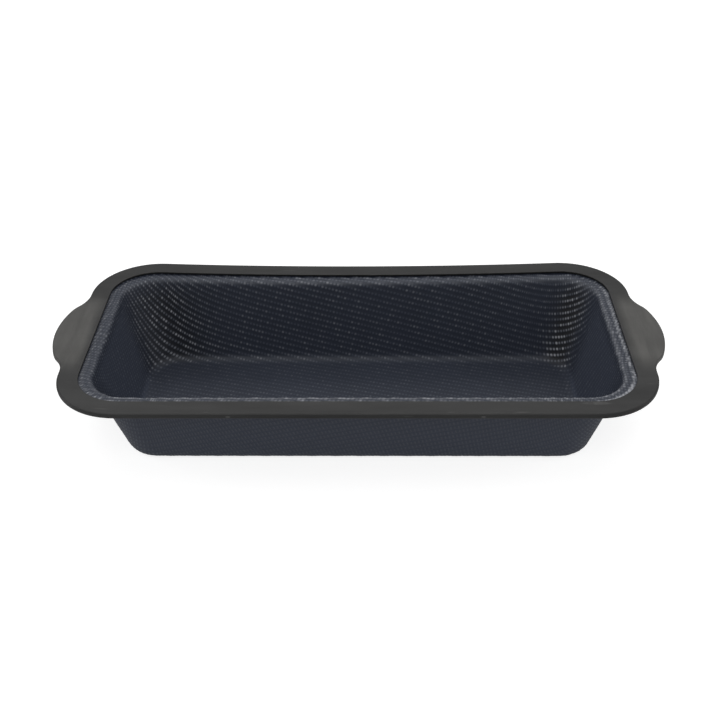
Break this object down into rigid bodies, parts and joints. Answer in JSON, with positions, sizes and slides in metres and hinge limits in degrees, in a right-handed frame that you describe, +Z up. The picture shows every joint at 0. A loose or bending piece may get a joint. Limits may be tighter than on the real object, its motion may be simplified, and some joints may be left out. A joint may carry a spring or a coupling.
{
  "type": "loaf pan",
  "caption": "Shallow rectangular loaf pan: a tapered trough of silicone-coated woven glass fabric hung in a flat silicone rim with a scalloped grip ear at each end.",
  "frame": {"origin": "on the table plane, under the middle of the whole pan's outline", "axes": "+X along the pan towards one ear, +Y to the long side that is bowed in, +Z up out of the open mouth"},
  "size_m": [0.3228, 0.1481, 0.0503],
  "materials": {
    "coated_fabric": "dark navy silicone coating over a plain glass weave, satin with bright specks on the thread crowns",
    "rim_silicone": "dark grey moulded silicone, matt to satin",
    "hoop_wire": "drawn bright wire"
  },
  "bodies": {
    "root": {"fabric_trough": "coated_fabric", "silicone_rim": "rim_silicone", "wire_hoop": "hoop_wire"}
  },
  "joints": []
}
